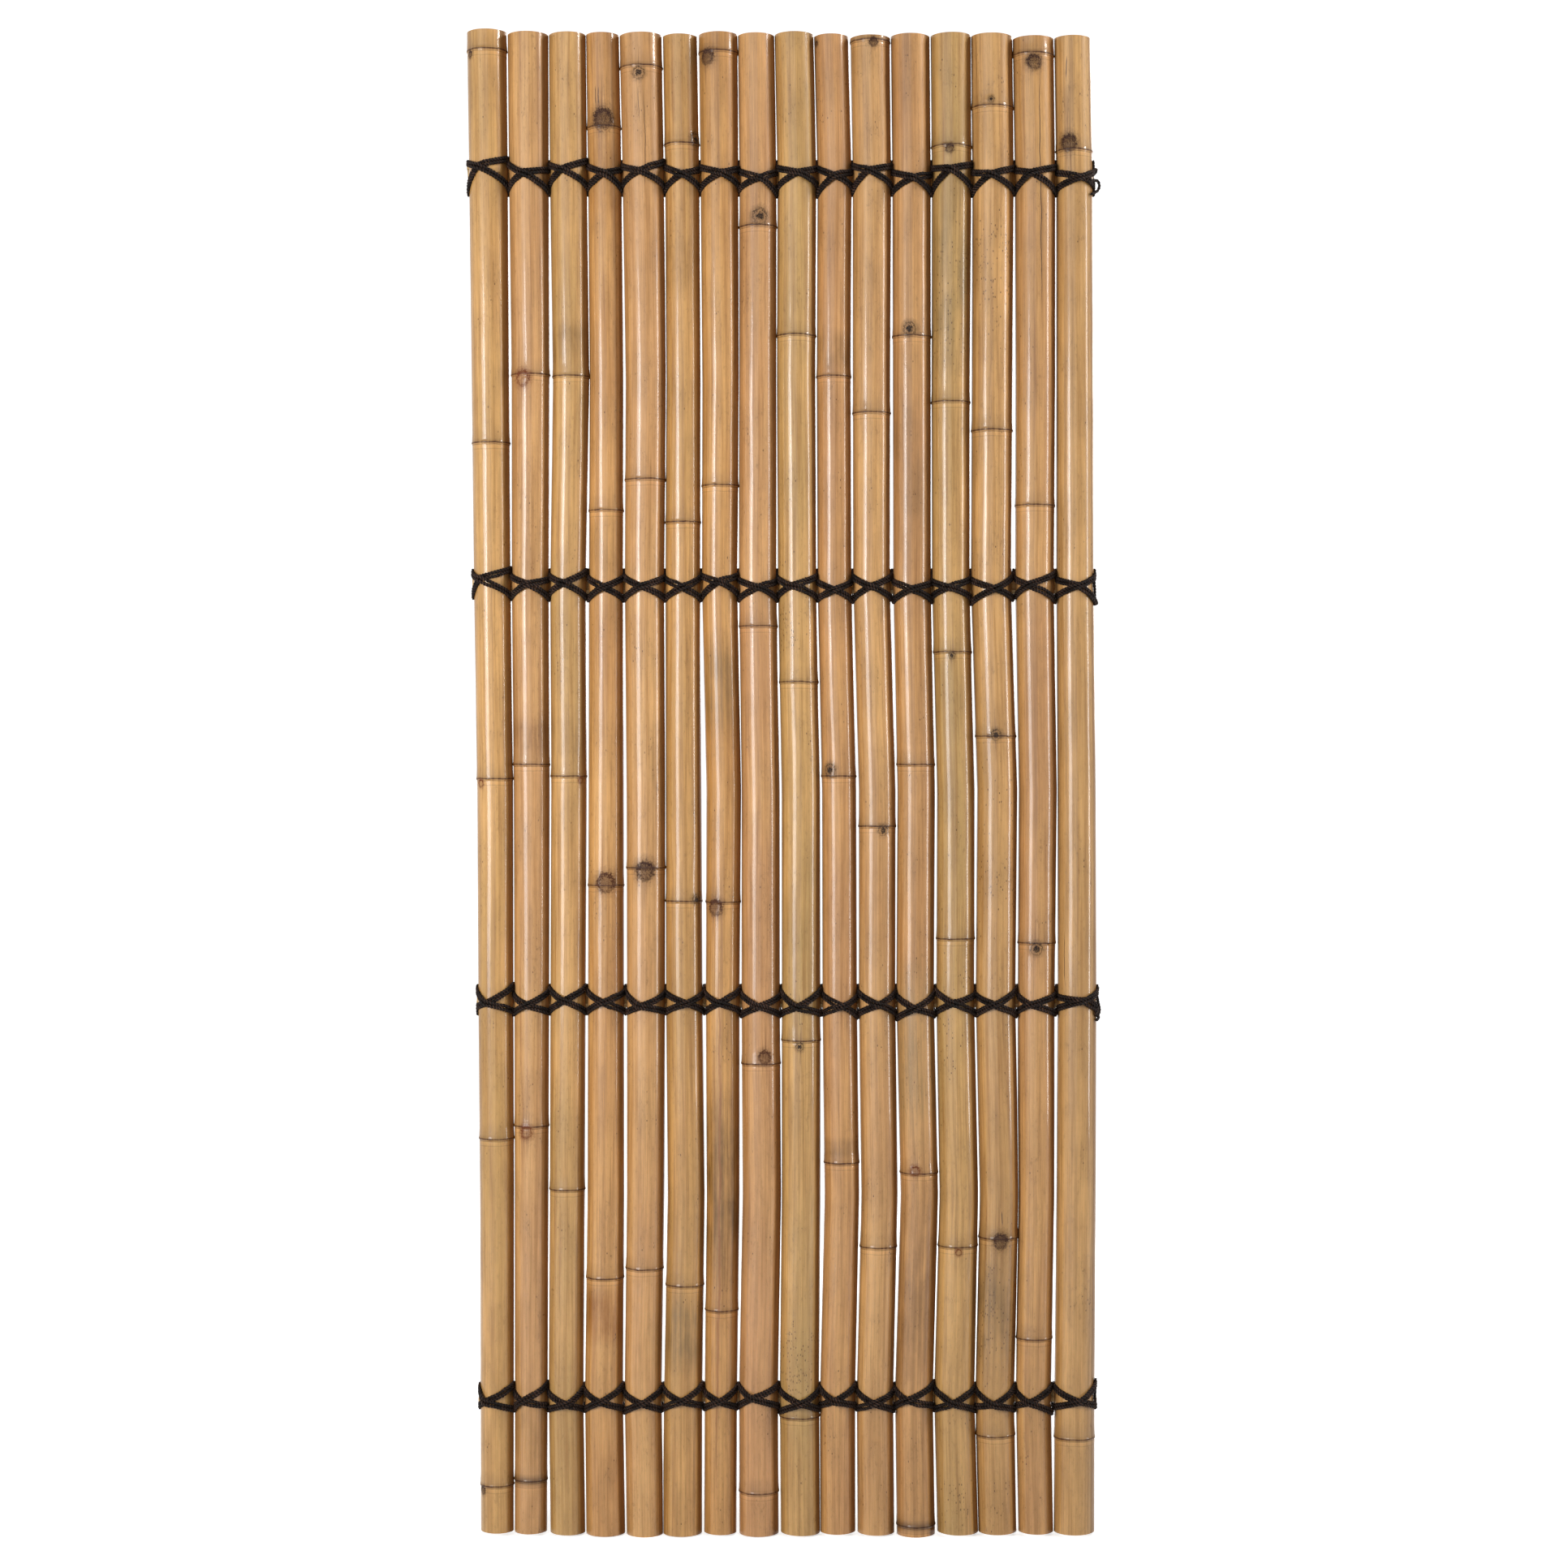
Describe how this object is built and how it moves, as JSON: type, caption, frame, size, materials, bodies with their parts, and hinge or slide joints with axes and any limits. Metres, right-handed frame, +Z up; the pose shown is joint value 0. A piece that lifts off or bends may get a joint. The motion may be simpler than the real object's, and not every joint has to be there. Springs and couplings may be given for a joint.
{
  "type": "bamboo fence panel",
  "caption": "Upright fence panel of split bamboo culms with their round faces forward, laced with black twine to split bamboo battens across the back.",
  "frame": {"origin": "on the floor under the middle of the panel, level with the feet of the longest culms", "axes": "+Z up along the culms, X across the panel, front with the round culm faces towards -Y, the culms' sawn faces in the plane y = 0"},
  "size_m": [0.767, 0.0498, 1.805],
  "materials": {
    "bamboo_culm": "varnished satin",
    "bamboo_batten": "bare, matt",
    "black_twine": "two-ply twine",
    "nail_steel": "dull"
  },
  "bodies": {
    "root": {"culm_01": "bamboo_culm", "culm_02": "bamboo_culm", "culm_03": "bamboo_culm", "culm_04": "bamboo_culm", "culm_05": "bamboo_culm", "culm_06": "bamboo_culm", "culm_07": "bamboo_culm", "culm_08": "bamboo_culm", "culm_09": "bamboo_culm", "culm_10": "bamboo_culm", "culm_11": "bamboo_culm", "culm_12": "bamboo_culm", "culm_13": "bamboo_culm", "culm_14": "bamboo_culm", "culm_15": "bamboo_culm", "culm_16": "bamboo_culm", "rear_batten_1": "bamboo_batten", "rear_batten_2": "bamboo_batten", "rear_batten_3": "bamboo_batten", "rear_batten_4": "bamboo_batten", "lashing_1": "black_twine", "lashing_2": "black_twine", "lashing_3": "black_twine", "lashing_4": "black_twine", "pinning_nail_1": "nail_steel", "pinning_nail_2": "nail_steel"}
  },
  "joints": []
}
